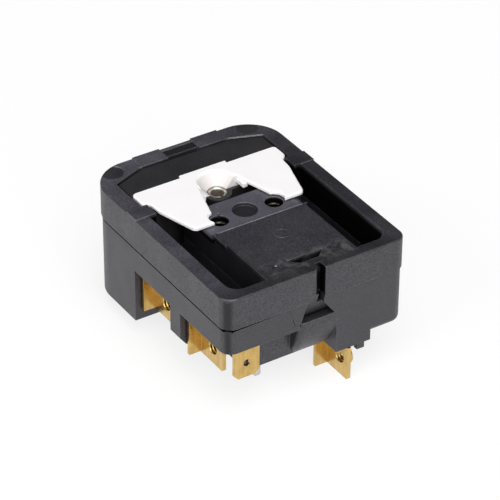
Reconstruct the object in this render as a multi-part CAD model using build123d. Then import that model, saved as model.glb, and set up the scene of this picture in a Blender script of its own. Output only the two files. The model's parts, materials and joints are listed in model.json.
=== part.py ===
from build123d import *
import os

# Start relay and motor protector that plugs onto the three pins of a sealed fridge compressor.
# All lengths are in millimetres. The model is drawn from the near left corner of the rim:
# X runs right from the left side, Y runs back from the front, and Z is 0 at the rim and falls below it.
# It is then moved so that the origin lies under the middle of the footprint, at the lowest terminal tip.

# Corners and edges of the outline
near_corner_r = 3.0
far_corner_r = 9.0
edge_round = 0.4
inner_edge = 0.25

# Compressor pins at the corners of an equal-sided triangle, and their rolled sockets
pin_spacing = 14.0
pin_pair_y = 28.0
pin_hole_r = 2.1
socket_r = 1.6
socket_wall = 0.5
socket_len = 7.0
socket_slit = 0.8
socket_room = 0.7

# Cover: a tray with a pocket on each side of the platform and an open far half
cover_h = 7.75
pocket_w = 8.2
side_rim = 3.4
front_rim = 2.9
back_rim = 4.3
pocket_corner_r = 3.0
rib_lead = 3.8
rib_len = 4.0
rib_reach = 1.7
rib_rise = 0.15

# Marks, bands and slots of the rim
catch_half = 4.1
back_band_w = 6.9
back_dip = 0.2
catch_slot_y = 0.9
disc_r = 2.65
disc_side = 5.3
disc_back = 2.75
disc_depth = 0.15
slit_left = 4.2
slit_right = 5.0
slit_near = 4.15
slit_far = 6.25
slit_taper = 2.2

# Pegs that join cover and base
peg_r = 0.8
peg_h = 2.2
peg_gap = 0.1
near_peg_x = 2.3
near_peg_y = 2.2

# Seat of the protector in the far half
protector_tail = 13.9
seat_side = 3.9
seat_bend_back = 7.1
seat_bend_side = 11.25

# Platform over the thermistor chamber and the lower plate with the pin holes
pin_plate_lead = 5.05
pin_plate_tail = 6.3
pin_step = 1.05
pin_lip = 0.7
pin_lip_lap = 0.3
side_lip = 0.25
side_lip_len = 4.8
side_lip_drop = 0.3
plate_slope = 1.3
ceiling_t = 1.45
centre_recess_r = 2.9
centre_recess_y = 0.8
centre_recess_depth = 0.8
dimple_r = 0.55
dimple_depth = 0.5
dimple_right = 1.06
dimple_back = 2.3

# Front latch: a dovetail tongue with a window, and the slot above it
latch_top_w = 13.8
latch_low_w = 11.2
latch_len = 5.2
latch_t = 2.2
latch_lead = 1.9
latch_gap = 0.12
window_rise = 1.25
window_root = 1.1
window_left = 4.1
window_right = 4.6
window_neck = 1.55
slot_start = 0.35
slot_w = 1.5
slot_reach = 2.3
slot_round = 1.6
slot_foot_gap = 0.25

# Base shell and the tub behind it
base_step = 0.3
floor_z = -12.5
floor_t = 1.7
tub_lead = 2.1
tub_bottom = -28.0
tub_wall = 1.3
tub_floor_t = 1.5
seam_gap = 0.78
seam_gap_depth = 0.9
seam_gap_run = 24.0

# Body under the floor, with the thermistor chamber in the middle
body_near = 4.1
body_beyond = 4.0
chamber_wall = 1.6
chamber_lead = 3.5
chamber_tail = 5.0
chamber_floor_t = 1.5
bay_wall = 1.6
relief_r = 2.4

# Walls and blocks below the floor
right_wall_low = -22.0
right_wall_t = 1.8
right_wall_round = 1.6
corner_block_right = 5.9
corner_block_drop = 0.9
corner_cover = 0.7
post_w = 1.9
post_d = 1.2
post_inset = 0.9
post_y = 1.2
post_h = 2.2
mid_block_len = 4.0
mid_block_low = -20.8
mid_block_slant = 1.6
apron_left = 4.3
apron_belly_y = 0.95
apron_belly_z = -18.3
apron_foot_y = 4.6
apron_foot_z = -23.3
apron_round = 1.5

# Thermistor pill, its cradle and springs
pill_r = 7.5
pill_t = 3.0
pill_gap = 0.5
pill_headroom = 3.1
cradle_h = 0.8
cradle_side = 1.5
spring_t = 0.4
spring_w = 6.0
spring_half_span = 6.0
strip_t = 0.5

# Screw terminals, folded from brass sheet with a drawn collar for the screw
brass_t = 0.8
blade_len = 9.4
flange_w = 3.1
flange_lift = 0.4
screw_r = 1.65
screw_near = 4.15
collar_wall = 0.65
collar_len = 1.2
collar_gap = 0.6
screw_above_tip = 4.0
slot_gap = 0.1
blade_gap = 0.3
side_drop = 11.3
front_blade_y = 18.6
lug_drop = 0.2
lug_w = 3.5
front_lug_far = 3.1
rear_lug_far = 2.5
rear_lug_drop = 2.6
corner_blade_inset = 1.6
corner_blade_drop = 8.6
corner_blade_len = 8.7
corner_blade_y = 8.8
corner_screw_near = 3.2
corner_screw_above_tip = 4.7
corner_root_near = 2.6
corner_lug_len = 7.2
flange_rise = 4.0

# Push-on tab at the near left corner, standard 6.3 x 0.8, and the small tab behind it
tab_w = 6.3
tab_beyond = 4.2
tab_y = 2.1
tab_drop = 8.5
tab_hole_r = 0.85
tab_hole_above_tip = 3.6
tab_chamfer = 1.0
tab_lug_w = 2.0
small_tab_gap = 0.5
small_tab_w = 1.6
small_tab_t = 0.6
small_tab_drop = 3.1
small_tab_hold = 2.9

# Protector case, closing plate and white cap
fit = 0.35
case_top = -0.35
case_wall = 2.4
case_near_wall = 1.7
case_roof_z = -4.0
boss_wall = 1.2
boss_floor = 0.8
plate_t = 2.0
cap_leg_gap = 0.35
cap_t = 0.9
cap_edge = 0.25
cap_collar_inset = 0.4
cap_ear_round = 1.0
cap_ear_gap = 0.45
cap_ear_lead = 1.1
cap_tail = 5.5
cap_catch_tail = 0.9
cap_catch_half = 6.0
cap_shoulder_gap = 0.75
cap_shoulder_inset = 0.4
cap_shoulder_lead = 3.1
cap_shoulder_slant = 0.25
cap_scallop_r = 2.4
cap_arch_half = 4.8
leg_out_x = 6.95
leg_tip_y = 1.3
leg_tip_round = 1.3
leg_in_x = 1.7
leg_knee_x = 0.7
leg_knee_y = 2.0
funnel_r = 4.6
funnel_mouth_z = -2.75
funnel_wall = 1.2
arm_mouth_z = -1.65
collar_lead = 3.1
lip_w = 2.4

# Strips, contacts, bimetal arm and heater inside the protector
line_inset = 1.05
line_w = 2.9
arm_t = 0.35
arm_w = 4.0
arm_foot = 0.8
arm_lap = 1.4
dish_r = 4.0
dish_crown_r = 1.2
dish_rise = 0.5
dish_gap = 0.3
contact_offset = 7.3
contact_r = 1.8
contact_h = 1.1
moving_contact_h = 0.9
fixed_strip_tail = 4.3
fixed_strip_side = 9.0
fixed_strip_rise = 5.0
heater_t = 0.3
heater_w = 1.1
heater_legs = 4
heater_gap = 2.0
heater_right = 2.2

# Values that follow from those above
socket_out_r = socket_r + socket_wall
platform_w = pin_spacing + 2 * (socket_out_r + socket_room + chamber_wall)
width = platform_w + 2 * (pocket_w + side_rim)
mid_x = width / 2
seam_z = -cover_h
left_of_platform = mid_x - platform_w / 2
right_of_platform = mid_x + platform_w / 2
chamber_left = left_of_platform + chamber_wall
chamber_right = right_of_platform - chamber_wall
pin_plate_z = -pin_step
pin_back_y = pin_pair_y + pin_spacing * 3 ** 0.5 / 2
left_pin_x = mid_x - pin_spacing / 2
right_pin_x = mid_x + pin_spacing / 2
pin_xs = (left_pin_x, right_pin_x)
socket_top = pin_plate_z - ceiling_t
plate_end = pin_pair_y + pin_plate_tail
block_end = plate_end + plate_slope
skirt_z = floor_z - floor_t
chamber_near = body_near + chamber_lead
chamber_far = pin_pair_y + chamber_tail
chamber_floor_z = socket_top - (2 * pill_r + cradle_h + pill_headroom)
body_bottom = chamber_floor_z - chamber_floor_t
seat_back = pin_back_y + protector_tail
depth = seat_back + back_rim
rib_near = pin_back_y - rib_lead
rib_far = rib_near + rib_len
disc_y = depth - disc_back
cap_low = pin_plate_z + cap_leg_gap
cap_top = cap_low + cap_t
cap_far = pin_back_y + cap_tail
cap_catch_far = cap_far + cap_catch_tail
latch_low_z = seam_z - latch_len
window_top = seam_z + window_rise
latch_slot_left = mid_x + slot_start
latch_slot_right = latch_slot_left + slot_w
tub_near = pin_back_y - tub_lead
tub_floor_z = tub_bottom + tub_floor_t
case_low = tub_floor_z + plate_t
case_near = tub_near + tub_wall + slot_gap
cavity_near = case_near + case_near_wall
body_left = left_of_platform - body_beyond
side_blade_x = body_left - collar_gap - collar_len - brass_t
side_tip = skirt_z - side_drop
rear_blade_y = tub_near - blade_gap
lug_top = skirt_z - lug_drop
rear_lug_top = lug_top - rear_lug_drop
rear_lug_end = rear_blade_y - rear_lug_far
front_lug_end = front_blade_y - front_lug_far
line_x = seat_side + fit + case_wall + line_inset
line_right = line_x + line_w
corner_blade_x = chamber_right - corner_blade_inset
corner_block_low = body_bottom - corner_block_drop
corner_tip = corner_block_low - corner_blade_drop
corner_left = corner_blade_x - flange_w + slot_gap
corner_right = corner_blade_x + corner_block_right
corner_far = corner_blade_y + corner_cover
post_low = corner_block_low - post_h
flange_top_z = chamber_floor_z + flange_rise
tab_lug_left = body_left
tab_x = body_left - tab_beyond
tab_tip = skirt_z - tab_drop
small_tab_x = tab_x + tab_w + small_tab_gap
small_tab_tip = body_bottom - small_tab_drop
small_tab_y = body_near + bay_wall / 2
pill_y = chamber_near + pill_gap + pill_r
pill_z = chamber_floor_z + cradle_h + pill_r
strip_x = left_pin_x + socket_out_r - strip_t
arm_y = depth - seat_bend_back - fit - case_wall - slot_gap - arm_w / 2
dish_x = mid_x - socket_r - dish_gap - dish_r
contact_x = mid_x + contact_offset
closed_z = case_low + brass_t + contact_h
arm_z = closed_z + moving_contact_h
to_origin = Pos(-mid_x, -depth / 2, -corner_tip)


# Box between two corners
def span(x0, x1, y0, y1, z0, z1):
    return Pos((x0 + x1) / 2, (y0 + y1) / 2, (z0 + z1) / 2) * Box(x1 - x0, y1 - y0, z1 - z0)


# Box grown by the same gap on every side, which leaves room for a strip of that size
def room(x0, x1, y0, y1, z0, z1, gap):
    return span(x0 - gap, x1 + gap, y0 - gap, y1 + gap, z0 - gap, z1 + gap)


# Upright prism over a flat sketch
def prism(sketch, z0, z1):
    return extrude(Pos(0, 0, z0) * sketch, z1 - z0, dir=(0, 0, 1))


# Prism along Y over an outline of (x, z) points
def prism_y(points, y0, y1):
    face = Plane.XZ * Polygon(*points, align=None)
    return extrude(Pos(0, y0, 0) * face, y1 - y0, dir=(0, 1, 0))


# Prism along X over an outline of (y, z) points
def prism_x(points, x0, x1):
    face = Plane.YZ * Polygon(*points, align=None)
    return extrude(Pos(x0, 0, 0) * face, x1 - x0, dir=(1, 0, 0))


# Upright cylinder on a given axis, between two heights
def rod(x, y, r, z0, z1):
    return Pos(x, y, (z0 + z1) / 2) * Cylinder(r, z1 - z0)


def mirrored(shape):
    return Pos(2 * mid_x, 0, 0) * mirror(shape, about=Plane.YZ)


# The same solid and its mirror image across the middle plane
def both_sides(shape):
    return shape + mirrored(shape)


# Outer outline of the housing, drawn in by a step
def footprint(step):
    plan = Pos(mid_x, depth / 2) * Rectangle(width - 2 * step, depth - 2 * step)
    plan = fillet(plan.vertices().group_by(Axis.Y)[0], near_corner_r - step)
    return fillet(plan.vertices().group_by(Axis.Y)[-1], far_corner_r - step)


# Six-sided seat of the protector, drawn in by a clearance
def seat_plan(near, clear):
    left = seat_side + clear
    bend_x = seat_bend_side + clear
    bend_y = depth - seat_bend_back - clear
    right = 2 * mid_x - left
    far = seat_back - clear
    points = [(right, near), (right, bend_y), (2 * mid_x - bend_x, far)]
    points += [(bend_x, far), (left, bend_y), (left, near)]
    return Polygon(*points, align=None)


# Opening inside the rim: pockets, neck between the ribs, seat of the protector
def rim_opening():
    pocket_len = rib_near - front_rim
    pockets = Pos(mid_x, front_rim + pocket_len / 2) * Rectangle(width - 2 * side_rim, pocket_len)
    pockets = fillet(pockets.vertices().group_by(Axis.Y)[0], pocket_corner_r)
    neck_w = width - 2 * (side_rim + rib_reach)
    neck = Pos(mid_x, rib_near + rib_len / 2) * Rectangle(neck_w, rib_len)
    return pockets + neck + seat_plan(rib_far, 0)


# Trapezoid of the front latch, drawn in by a clearance, as (x, z) points
def latch_outline(clear):
    top_half = latch_top_w / 2 - clear
    low_half = latch_low_w / 2 - clear
    low = latch_low_z + clear
    top = [(mid_x - top_half, seam_z), (mid_x + top_half, seam_z)]
    return top + [(mid_x + low_half, low), (mid_x - low_half, low)]


# Window in the latch: it widens downwards and its floor slopes inwards like a ramp
def latch_window():
    root_left = mid_x - window_root
    outline = [
        (root_left, window_top),
        (latch_slot_right, window_top),
        (latch_slot_right, seam_z - window_neck),
        (mid_x + window_right, latch_low_z),
        (mid_x - window_left, latch_low_z),
        (root_left - window_rise, seam_z),
    ]
    ramp_end = base_step + latch_lead
    ramp = [(-1, window_top), (-1, latch_low_z), (ramp_end, latch_low_z), (base_step, window_top)]
    return prism_y(outline, -1, ramp_end) & prism_x(ramp, 0, width)


# Slot above the latch: its left edge is rounded and its foot is parted from the window's ramp
def latch_slot():
    slot = span(latch_slot_left, latch_slot_right, -1, slot_reach, window_top, 1)
    slot += span(latch_slot_left, latch_slot_right, -1, slot_reach, seam_z - window_neck, window_top)
    round_x = latch_slot_left - slot_round
    edge = span(round_x, latch_slot_left, -1, slot_round, window_top, 1)
    edge -= rod(round_x, slot_round, slot_round, window_top - 1, 2)
    foot = span(round_x, latch_slot_right, -1, slot_reach, window_top - slot_foot_gap, window_top)
    return slot + edge + foot


# Tapered slit behind the latch, which lets the latch spring
def latch_slit(z0, z1):
    left = mid_x - slit_left
    right = mid_x + slit_right
    points = [(left, slit_far), (left + slit_taper, slit_near)]
    points += [(right - slit_taper, slit_near), (right, slit_far)]
    return prism(Polygon(*points, align=None), z0, z1)


def peg_spots():
    right = width - near_peg_x
    return [(near_peg_x, near_peg_y), (right, near_peg_y), (disc_side, disc_y), (width - disc_side, disc_y)]


# Raised bands on the rim, over the ribs and beside the protector's catch
def rim_bands():
    rib_band = span(0, side_rim + rib_reach, rib_near, rib_far, -1, rib_rise)
    band_right = mid_x - catch_half
    back = span(band_right - back_band_w, band_right, seat_back, depth, -1, rib_rise)
    return both_sides(rib_band + back)


# Platform over the thermistor chamber, with the lower plate that carries the pin holes
def platform():
    root = front_rim - edge_round
    block = span(left_of_platform, right_of_platform, root, block_end, seam_z, 0)
    lip_left = left_of_platform - pin_lip
    step_y = pin_pair_y - pin_plate_lead
    lip_start = step_y - pin_lip_lap
    block += span(lip_left, 2 * mid_x - lip_left, lip_start, block_end, pin_plate_z - pin_step, 0)
    side_left = left_of_platform - side_lip
    side_top = -side_lip_drop
    side_right = 2 * mid_x - side_left
    block += span(side_left, side_right, step_y - side_lip_len, step_y, side_top - pin_step, side_top)
    block -= span(0, width, step_y, block_end + 1, pin_plate_z, 1)
    slope = [(plate_end, pin_plate_z), (block_end + 1, pin_plate_z), (block_end, pin_plate_z - plate_slope)]
    block -= prism_x(slope, 0, width)
    block -= span(chamber_left, chamber_right, chamber_near, chamber_far, seam_z, socket_top)
    for x in pin_xs:
        block -= rod(x, pin_pair_y, pin_hole_r, socket_top - 1, 0)
    block -= rod(mid_x, pin_pair_y + centre_recess_y, centre_recess_r, pin_plate_z - centre_recess_depth, 0)
    dimple_x = left_pin_x + dimple_right
    return block - rod(dimple_x, pin_pair_y + dimple_back, dimple_r, pin_plate_z - dimple_depth, 0)


# Dip in the rim and slot for the protector's catch, in the middle of the far side
def catch_cut():
    left = mid_x - catch_half
    right = mid_x + catch_half
    slot = span(left, right, seat_back - 1, seat_back + catch_slot_y, seam_z - 1, 1)
    return slot + span(left, right, seat_back, depth - 1, -back_dip, 1)


def cover():
    shell = prism(footprint(0), seam_z, 0)
    shell = fillet(shell.edges().group_by(Axis.Z)[-1], edge_round)
    shell -= prism(rim_opening(), seam_z - 1, 1)
    inner = shell.faces().sort_by(Axis.Z)[-1].inner_wires()[0].edges()
    shell = chamfer(inner, inner_edge)
    shell += (prism(footprint(0), seam_z, rib_rise) - prism(rim_opening(), seam_z - 1, 1)) & rim_bands()
    shell += platform()
    tongue = prism_y(latch_outline(latch_gap), base_step, base_step + latch_t)
    shell += tongue
    shell -= latch_window()
    shell -= latch_slot()
    shell -= latch_slit(seam_z - 1, 1)
    shell -= catch_cut()
    for x in (disc_side, width - disc_side):
        shell -= rod(x, disc_y, disc_r, -disc_depth, 1)
    for x, y in peg_spots():
        shell -= rod(x, y, peg_r + peg_gap, seam_z - 1, seam_z + peg_h + peg_gap)
    return shell


# Walls that reach below the floor on the right and at the near right corner
def right_walls():
    zone = span(corner_right, width, 0, tub_near, right_wall_low, skirt_z)
    walls = prism(footprint(base_step), right_wall_low, skirt_z) & zone
    low_edges = walls.edges().group_by(Axis.Z)[0].filter_by(Axis.Y)
    walls = fillet(low_edges.sort_by(Axis.X)[-1], right_wall_round)
    inner = base_step + right_wall_t
    return walls - span(0, width - inner, inner, depth, right_wall_low - 1, skirt_z)


# Curved apron below the latch, as a thin wall that bends back to the foot of the body
def apron():
    back_y = body_near + chamber_wall
    front = (base_step, latch_low_z)
    foot = (apron_foot_y, apron_foot_z)
    edge = ThreePointArc(front, (apron_belly_y, apron_belly_z), foot)
    rest = Polyline(foot, (back_y, apron_foot_z), (back_y, latch_low_z), front)
    face = Plane.YZ * make_face(edge + rest)
    left = mid_x - apron_left
    wall = extrude(Pos(left, 0, 0) * face, corner_left - left, dir=(1, 0, 0))
    left_edge = wall.edges().filter_by(GeomType.CIRCLE).sort_by(Axis.X)[0]
    return fillet(left_edge, apron_round)


# Left block between the two terminal notches, with a slanted lower corner
def mid_block():
    left = base_step
    near = front_blade_y + slot_gap + blade_gap
    points = [(left, skirt_z), (left, mid_block_low), (left + mid_block_slant, body_bottom)]
    points += [(body_left + bay_wall, body_bottom), (body_left + bay_wall, skirt_z)]
    return prism_y(points, near, near + mid_block_len)


# Gap of the seam, widest along the left side and closing towards the latch
def seam_wedge():
    ring = prism(footprint(0), seam_z - 1, seam_z) - prism(footprint(seam_gap_depth), seam_z - 2, seam_z + 1)
    wedge = prism_y([(-1, seam_z), (-1, seam_z - seam_gap), (seam_gap_run, seam_z)], -1, depth + 1)
    return ring & wedge


# Open bay beside the chamber, from the underside up to the floor
def bay(near):
    return span(body_left + bay_wall, left_of_platform, near, tub_near - bay_wall, body_bottom - 1, skirt_z)


# Posts under the pin sockets, and the cradle under the pill
def chamber_posts():
    near = pin_pair_y - socket_out_r
    far = pin_pair_y + socket_out_r
    low = chamber_floor_z
    post = span(chamber_left, left_pin_x + socket_r - slot_gap, near, far, low, socket_top - socket_len)
    side = pill_t / 2 + cradle_side
    cradle = span(mid_x - side, mid_x + side, pill_y - pill_r / 2, pill_y + pill_r / 2, low, pill_z - pill_r)
    return both_sides(post) + cradle


# Slots in the base for everything folded from sheet, with a small gap all round
def terminal_slots():
    g = slot_gap
    lug_low = lug_top - brass_t
    slots = room(side_blade_x, chamber_left, front_lug_end - lug_w, front_lug_end, lug_low, lug_top, g)
    rear_near = rear_lug_end - lug_w
    slots += room(side_blade_x, line_right, rear_near, rear_lug_end, rear_lug_top - brass_t, rear_lug_top, g)
    slots += room(line_x, line_right, rear_lug_end, case_near, rear_lug_top - brass_t, rear_lug_top, g)
    tab_right = tab_lug_left + tab_lug_w
    slots += room(tab_lug_left, tab_right, tab_y, front_lug_end - lug_w, lug_low, lug_top, g)
    block_low = corner_block_low - 1
    blade_far = corner_blade_x + brass_t
    slots += room(corner_blade_x, blade_far, corner_root_near, corner_blade_y, block_low, lug_top, g)
    flange_left = corner_blade_x - flange_w
    flange_near = corner_blade_y - brass_t
    slots += room(flange_left, corner_blade_x, flange_near, corner_blade_y, block_low, flange_top_z, g)
    small_right = small_tab_x + small_tab_w
    small_far = small_tab_y + small_tab_t
    small_top = body_bottom + small_tab_hold
    slots += room(small_tab_x, small_right, small_tab_y, small_far, body_bottom - 1, small_top - g, g)
    return slots


def base():
    shell = prism(footprint(base_step), skirt_z, seam_z)
    tub = prism(footprint(base_step), tub_bottom, skirt_z)
    tub &= span(0, width, tub_near, depth, tub_bottom, skirt_z)
    tub = chamfer(tub.edges().group_by(Axis.Z)[0], edge_round)
    body = span(body_left, 2 * mid_x - body_left, body_near, tub_near + tub_wall, body_bottom, skirt_z)
    shell += tub + body
    shell += span(corner_left, corner_right, base_step, corner_far, corner_block_low, skirt_z)
    post_right = corner_right - post_inset
    shell += span(post_right - post_w, post_right, post_y, post_y + post_d, post_low, corner_block_low)
    shell += right_walls()
    shell += mid_block()
    shell -= prism(rim_opening(), floor_z, seam_z + 1)
    shell -= prism(seat_plan(tub_near + tub_wall, 0), tub_floor_z, seam_z + 1)
    root = front_rim - edge_round
    shell += span(left_of_platform, right_of_platform, root, block_end, floor_z - floor_t / 2, seam_z)
    for far in (rear_blade_y, front_blade_y):
        hole_at = Pos(body_left, far - blade_len + screw_near, side_tip + screw_above_tip) * Rot(0, 90, 0)
        shell -= hole_at * Cylinder(relief_r, 4 * bay_wall)
    shell -= span(chamber_left, chamber_right, chamber_near, chamber_far, chamber_floor_z, seam_z + 1)
    shell -= bay(body_near + bay_wall)
    shell -= mirrored(bay(corner_far + bay_wall))
    shell -= prism_y(latch_outline(0), 0, base_step + latch_t + latch_gap)
    shell -= span(mid_x - apron_left, corner_left, 0, body_near, latch_low_z - floor_t, latch_low_z)
    shell += apron()
    shell -= latch_slit(latch_low_z, seam_z + 1)
    shell -= seam_wedge()
    for x, y in peg_spots():
        shell += rod(x, y, peg_r, seam_z - floor_t, seam_z + peg_h)
    shell += chamber_posts()
    return shell - terminal_slots()


# Thermistor pill, standing on its edge in the chamber
def pill():
    return Pos(mid_x, pill_y, pill_z) * Rot(0, 90, 0) * Cylinder(pill_r, pill_t)


# Rolled pin socket with a chamfered mouth, slit along one side
def rolled_socket(x, y, top, slit_turn):
    tube = Cylinder(socket_out_r, socket_len) - Cylinder(socket_r, socket_len)
    mouth = tube.edges().filter_by(GeomType.CIRCLE).group_by(Axis.Z)[-1].sort_by(SortBy.RADIUS)[0]
    tube = chamfer(mouth, socket_wall / 2)
    tube -= Pos(socket_out_r, 0, 0) * Box(2 * socket_out_r, socket_slit, 2 * socket_len)
    return Pos(x, y, top - socket_len / 2) * Rot(0, 0, slit_turn) * tube


# Left pin socket with the strip that runs forward past the pill
def start_socket():
    right = strip_x + strip_t
    half = spring_w / 2
    strip = span(strip_x, right, pill_y - spring_half_span, pin_pair_y, pill_z - half, pill_z + half)
    riser = span(strip_x, right, pin_pair_y - socket_r, pin_pair_y, pill_z, socket_top - socket_len / 2)
    return rolled_socket(left_pin_x, pin_pair_y, socket_top, 180) + strip + riser


# Bowed leaf spring between the strip and the pill's left face
def start_spring():
    strip_face = strip_x + strip_t
    crest = mid_x - pill_t / 2
    sag = crest - strip_face
    bow_r = (spring_half_span ** 2 + sag ** 2) / (2 * sag)
    ring = Cylinder(bow_r, spring_w) - Cylinder(bow_r - spring_t, spring_w)
    bow = Pos(crest - bow_r, pill_y, pill_z) * ring
    near = pill_y - spring_half_span
    return bow & span(strip_face, crest, near, near + 2 * spring_half_span, -depth, 0)


# Sheet terminal: an upright blade, a flange at its far end and a drawn collar for the screw
def screw_terminal(x, near, far, tip, top, screw_y, screw_z):
    body = span(x, x + brass_t, near, far, tip, top)
    body += span(x - flange_w, x + brass_t, far - brass_t, far, tip, top)
    reach = brass_t + collar_len
    hole_at = Pos(x + reach / 2, screw_y, screw_z) * Rot(0, 90, 0)
    body += hole_at * Cylinder(screw_r + collar_wall, reach)
    body -= hole_at * Cylinder(screw_r, 2 * reach)
    corner = body.edges().filter_by(Axis.X).group_by(Axis.Y)[0].sort_by(Axis.Z)[0]
    return chamfer(corner, brass_t / 2)


# Terminal of the left side, whose flange ends a little above its tip
def side_terminal(far):
    near = far - blade_len
    screw_z = side_tip + screw_above_tip
    terminal = screw_terminal(side_blade_x, near, far, side_tip, lug_top, near + screw_near, screw_z)
    return terminal - span(0, side_blade_x, far - 2 * brass_t, far + 1, side_tip - 1, side_tip + flange_lift)


def rear_screw_terminal():
    terminal = side_terminal(rear_blade_y)
    low = rear_lug_top - brass_t
    return terminal + span(side_blade_x, line_right, rear_lug_end - lug_w, rear_lug_end, low, rear_lug_top)


def front_screw_terminal():
    terminal = side_terminal(front_blade_y)
    near = front_lug_end - lug_w
    return terminal + span(side_blade_x, strip_x, near, front_lug_end, lug_top - brass_t, lug_top)


# Its root is narrower than its blade, and its flange stops inside the block
def corner_screw_terminal():
    near = corner_blade_y - corner_blade_len
    screw_z = corner_tip + corner_screw_above_tip
    screw_y = near + corner_screw_near
    terminal = screw_terminal(corner_blade_x, near, corner_blade_y, corner_tip, lug_top, screw_y, screw_z)
    terminal -= span(0, corner_blade_x, 0, corner_blade_y, flange_top_z, 0)
    terminal -= span(corner_blade_x, width, 0, corner_root_near, corner_block_low - slot_gap, 0)
    lug_left = 2 * mid_x - strip_x
    near = chamber_near + 2 * slot_gap
    right = corner_blade_x + brass_t
    return terminal + span(lug_left, right, near, near + corner_lug_len, lug_top - brass_t, lug_top)


# Standard push-on tab with a locking hole and chamfered end, and the strip behind its root
def push_on_tab():
    blade = span(tab_x, tab_x + tab_w, tab_y, tab_y + brass_t, tab_tip, lug_top)
    blade = chamfer(blade.edges().filter_by(Axis.Y).group_by(Axis.Z)[0], tab_chamfer)
    hole_at = Pos(tab_x + tab_w / 2, tab_y, tab_tip + tab_hole_above_tip) * Rot(90, 0, 0)
    blade -= hole_at * Cylinder(tab_hole_r, 4 * brass_t)
    far = front_lug_end - lug_w
    return blade + span(tab_lug_left, tab_lug_left + tab_lug_w, tab_y, far, lug_top - brass_t, lug_top)


# Small tinned tab under the body, behind the push-on tab
def small_tab():
    far = small_tab_y + small_tab_t
    top = body_bottom + small_tab_hold
    tab = span(small_tab_x, small_tab_x + small_tab_w, small_tab_y, far, small_tab_tip, top)
    return chamfer(tab.edges().filter_by(Axis.Y).group_by(Axis.Z)[0], small_tab_t / 2)


# Left half of the cap's outline, which its mirror image completes
def cap_half():
    ear_x = seat_side + cap_ear_gap
    catch_x = mid_x - cap_catch_half
    shoulder_x = side_rim + rib_reach + cap_shoulder_gap
    arch_x = mid_x - cap_arch_half
    tip_y = pin_pair_y - leg_tip_y
    points = [
        (mid_x, cap_catch_far),
        (catch_x, cap_catch_far),
        (catch_x, cap_far),
        (ear_x, cap_far),
        (ear_x, rib_far + cap_ear_lead),
        (shoulder_x, rib_far - cap_shoulder_inset),
        (shoulder_x + cap_shoulder_slant, pin_back_y - cap_shoulder_lead),
        (left_pin_x - leg_out_x, tip_y),
        (left_pin_x - leg_in_x, tip_y),
        (left_pin_x - leg_knee_x, pin_pair_y + leg_knee_y),
        (arch_x, pin_back_y - slot_gap),
        (arch_x, pin_back_y),
        (mid_x, pin_back_y),
    ]
    half = Polygon(*points, align=None)
    half = fillet(half.vertices().group_by(Axis.X)[0], cap_ear_round)
    half = fillet(half.vertices().group_by(Axis.Y)[0].sort_by(Axis.X)[0], leg_tip_round)
    return half - Pos(left_pin_x, pin_pair_y) * Circle(cap_scallop_r)


# White cap with two legs, a lead-in funnel for the common pin and a sloped lip left of it
def cap():
    half = prism(cap_half(), cap_low, cap_top)
    plate = half + mirrored(half)
    plate = chamfer(plate.edges().group_by(Axis.Z)[-1], cap_edge)
    arch_x = mid_x - cap_arch_half
    collar_x = arch_x - funnel_wall
    near = pin_back_y - collar_lead
    right = 2 * mid_x - collar_x
    plate += span(collar_x, right, pin_back_y, cap_far - cap_collar_inset, funnel_mouth_z, cap_low)
    plate += span(collar_x, right, near, pin_back_y, arm_mouth_z, cap_low)
    plate -= span(arch_x, 2 * mid_x - arch_x, 0, pin_back_y, funnel_mouth_z - 1, cap_low)
    lip = [(collar_x, cap_low), (arch_x + lip_w / 2, cap_low)]
    lip += [(arch_x - lip_w / 2, cap_top - cap_collar_inset)]
    plate += prism_y(lip, near, pin_back_y)
    height = cap_top - funnel_mouth_z
    funnel = Pos(mid_x, pin_back_y, cap_top - height / 2) * Cone(socket_out_r + slot_gap, funnel_r, height)
    return plate - funnel


# Inside of the case, from the closing plate up to its roof
def cavity(z0, z1):
    return prism(seat_plan(cavity_near, fit + case_wall), z0, z1)


# Black case of the protector, open underneath
def protector_case():
    case = prism(seat_plan(case_near, fit), case_low, case_top)
    boss_low = funnel_mouth_z - socket_len - boss_floor
    case += rod(mid_x, pin_back_y, socket_out_r + boss_wall, boss_low, cap_low)
    gap = fit / 2
    case -= span(0, width, 0, cap_far + gap, cap_low, 1)
    catch_x = mid_x - cap_catch_half - gap
    case -= span(catch_x, 2 * mid_x - catch_x, 0, cap_catch_far + gap, cap_low, 1)
    collar_x = mid_x - cap_arch_half - funnel_wall - gap
    case -= span(collar_x, 2 * mid_x - collar_x, 0, cap_far - cap_collar_inset + gap, funnel_mouth_z, 0)
    rib_end = side_rim + rib_reach + fit
    case -= both_sides(span(0, rib_end, 0, rib_far + fit, seam_z - fit, 1))
    case -= cavity(case_low - 1, case_roof_z)
    case -= rod(mid_x, pin_back_y, socket_out_r + slot_gap / 2, funnel_mouth_z - socket_len, 0)
    strip_low = rear_lug_top - brass_t
    return case - room(line_x, line_right, 0, cavity_near + 1, strip_low, rear_lug_top, slot_gap)


def protector_plate():
    return prism(seat_plan(case_near, fit), tub_floor_z, case_low)


# Folded line strip: through the near wall, down it, along the plate and up to the foot of the arm
def line_strip():
    top = rear_lug_top
    low = case_low
    far = arm_y + arm_w / 2
    strip = span(line_x, line_right, rear_lug_end, cavity_near + brass_t, top - brass_t, top)
    strip += span(line_x, line_right, cavity_near, cavity_near + brass_t, low, top)
    strip += span(line_x, line_right, cavity_near, far, low, low + brass_t)
    strip += span(line_x, line_right, far - brass_t, far, low, arm_z)
    return strip + span(line_x, line_right + arm_lap, far - arm_w, far, arm_z - brass_t, arm_z)


# Strip under the fixed contact, turned up at the right as a terminal
def fixed_strip():
    half = (arm_w + heater_w) / 2
    left = contact_x - fixed_strip_tail
    right = width - fixed_strip_side
    strip = span(left, right, arm_y - half, arm_y + half, case_low, case_low + brass_t)
    top = case_low + fixed_strip_rise
    return strip + span(right - brass_t, right, arm_y - half, arm_y + half, case_low, top)


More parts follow.
